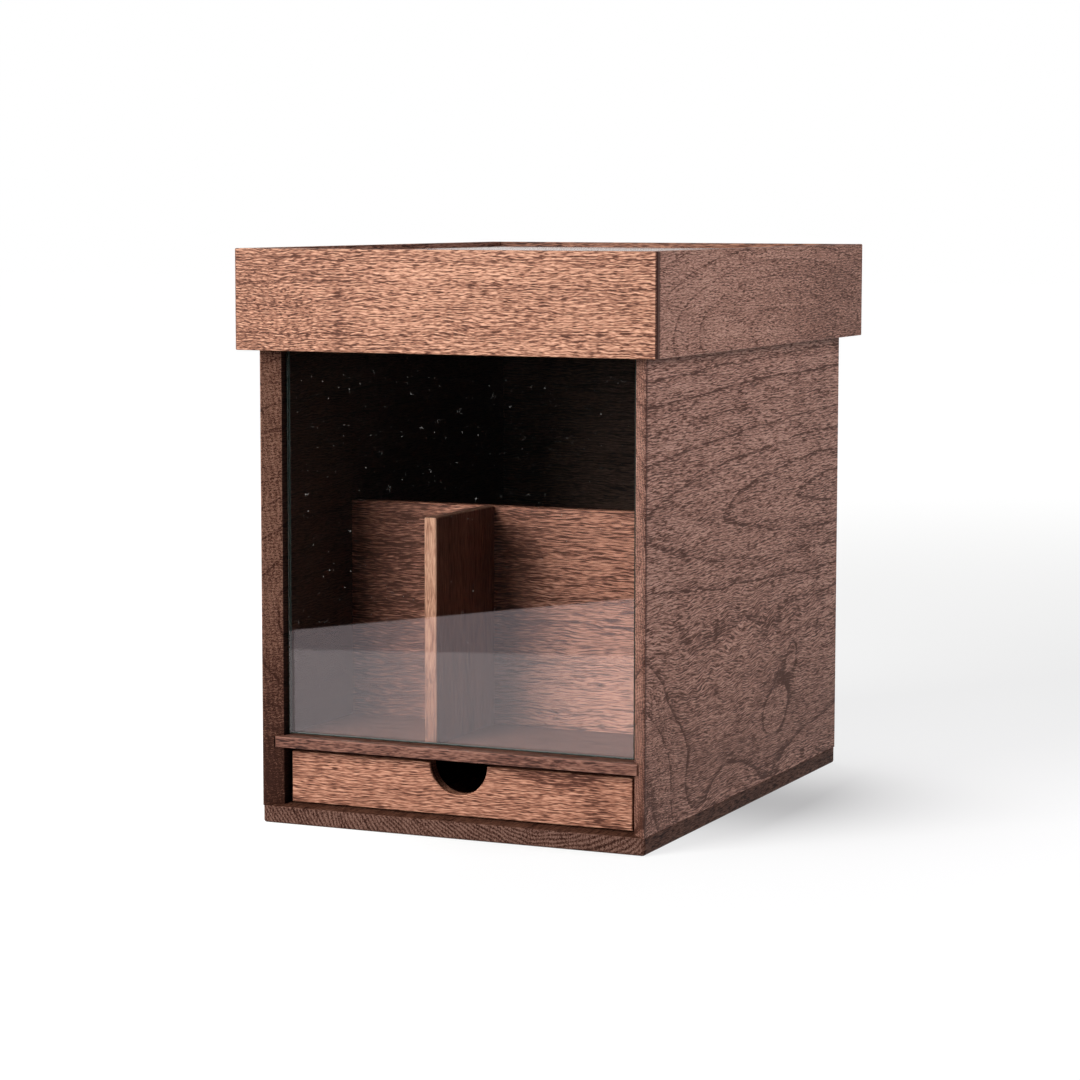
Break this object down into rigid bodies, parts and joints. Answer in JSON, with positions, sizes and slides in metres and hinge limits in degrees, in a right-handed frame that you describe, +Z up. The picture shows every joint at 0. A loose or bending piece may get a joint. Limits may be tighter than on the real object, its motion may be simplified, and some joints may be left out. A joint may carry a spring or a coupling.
{
  "type": "makeup box with drawer",
  "caption": "Walnut makeup box with a deep rear-hinged lid, a glass flap in front of divided bottle compartments and a shallow drawer with a finger notch at its foot.",
  "frame": {"origin": "on the surface the box stands on, under the middle of the closed box", "axes": "+X to the right, +Y to the back, +Z up; the glass and the drawer face -Y"},
  "size_m": [0.2606, 0.352, 0.3337],
  "materials": {
    "walnut": "satin",
    "glass": "polished",
    "mirror": "polished",
    "brass": "satin"
  },
  "bodies": {
    "carcase": {"bottom_board": "walnut", "left_side": "walnut", "right_side": "walnut", "back_panel": "walnut", "top_rail": "walnut", "shelf": "walnut", "half_wall": "walnut", "divider": "walnut", "left_drawer_guide": "walnut", "right_drawer_guide": "walnut", "hinge_body_leaves": "brass", "hinge_pins": "brass", "body_leaf_screws": "brass"},
    "drawer": {"drawer_front": "walnut", "drawer_left_side": "walnut", "drawer_right_side": "walnut", "drawer_back": "walnut", "drawer_floor": "walnut"},
    "glass_flap": {"glass_pane": "glass", "flap_rail": "walnut", "flap_pins": "brass"},
    "lid": {"lid_front": "walnut", "lid_back": "walnut", "lid_left": "walnut", "lid_right": "walnut", "lid_top_panel": "walnut", "lid_mirror": "mirror", "lid_rest_blocks": "walnut", "hinge_lid_leaves": "brass", "lid_leaf_screws": "brass"}
  },
  "joints": [
    {"name": "drawer_slide", "type": "slide", "parent": "carcase", "child": "drawer", "axis": [0, -1, 0], "range_m": [0, 0.22]},
    {"name": "flap_hinge", "type": "hinge", "parent": "carcase", "child": "glass_flap", "pos_m": [0, -0.15115, 0.2825], "axis": [-1, 0, 0], "range_deg": [0, 55]},
    {"name": "lid_hinge", "type": "hinge", "parent": "carcase", "child": "lid", "pos_m": [0, 0.16365, 0.2745], "axis": [-1, 0, 0], "range_deg": [0, 105]}
  ]
}
